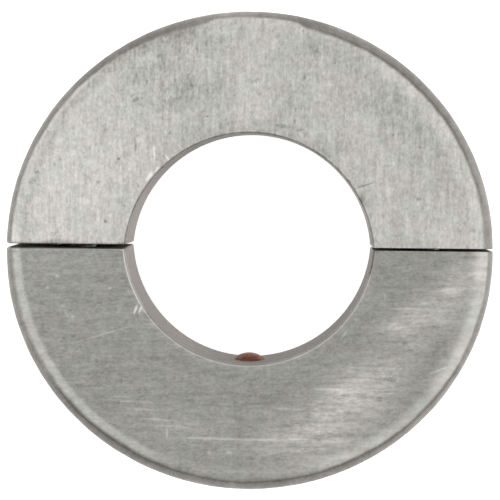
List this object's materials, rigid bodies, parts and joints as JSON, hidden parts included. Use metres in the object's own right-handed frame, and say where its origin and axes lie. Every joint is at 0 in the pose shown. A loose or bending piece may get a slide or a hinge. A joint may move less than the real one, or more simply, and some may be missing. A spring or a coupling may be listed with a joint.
{
  "type": "shaft collar",
  "caption": "Split zinc shaft collar: two cast half rings with a copper bore contact, drawn together by cap screws into captive nuts.",
  "frame": {"origin": "on the back face, in the middle of the collar's outline, 0.345 mm below the split", "axes": "+Z along the shaft, out of the front face; +Y towards the upper half; +X towards the right-hand screw"},
  "size_m": [0.0498, 0.049, 0.0127],
  "materials": {
    "zinc": "cast zinc, faces brushed on a belt, dull grey",
    "copper": "bare copper, lightly tarnished",
    "stainless": "stainless steel, turned, satin",
    "washer_steel": "stainless spring steel, duller"
  },
  "bodies": {
    "lower": {"lower_half": "zinc", "copper_contact": "copper", "hex_nut_left": "stainless", "hex_nut_right": "stainless"},
    "upper": {"upper_half": "zinc", "lock_washer_left": "washer_steel", "lock_washer_right": "washer_steel"},
    "screw_left": {"cap_screw_left": "stainless"},
    "screw_right": {"cap_screw_right": "stainless"}
  },
  "joints": [
    {"name": "upper_lift", "type": "slide", "parent": "lower", "child": "upper", "axis": [0, 1, 0], "range_m": [-0.0002, 0.0105]},
    {"name": "cap_screw_left_turn", "type": "hinge", "parent": "upper", "child": "screw_left", "pos_m": [-0.0179, 0, 0.00635], "axis": [0, 1, 0], "range_deg": [-70, 3574]},
    {"name": "cap_screw_right_turn", "type": "hinge", "parent": "upper", "child": "screw_right", "pos_m": [0.0179, 0, 0.00635], "axis": [0, 1, 0], "range_deg": [-70, 3574]}
  ],
  "couplings": [
    {"joint": "cap_screw_left_turn", "follows": "upper_lift", "rad_per_m": 5936.9},
    {"joint": "cap_screw_right_turn", "follows": "upper_lift", "rad_per_m": 5936.9}
  ]
}
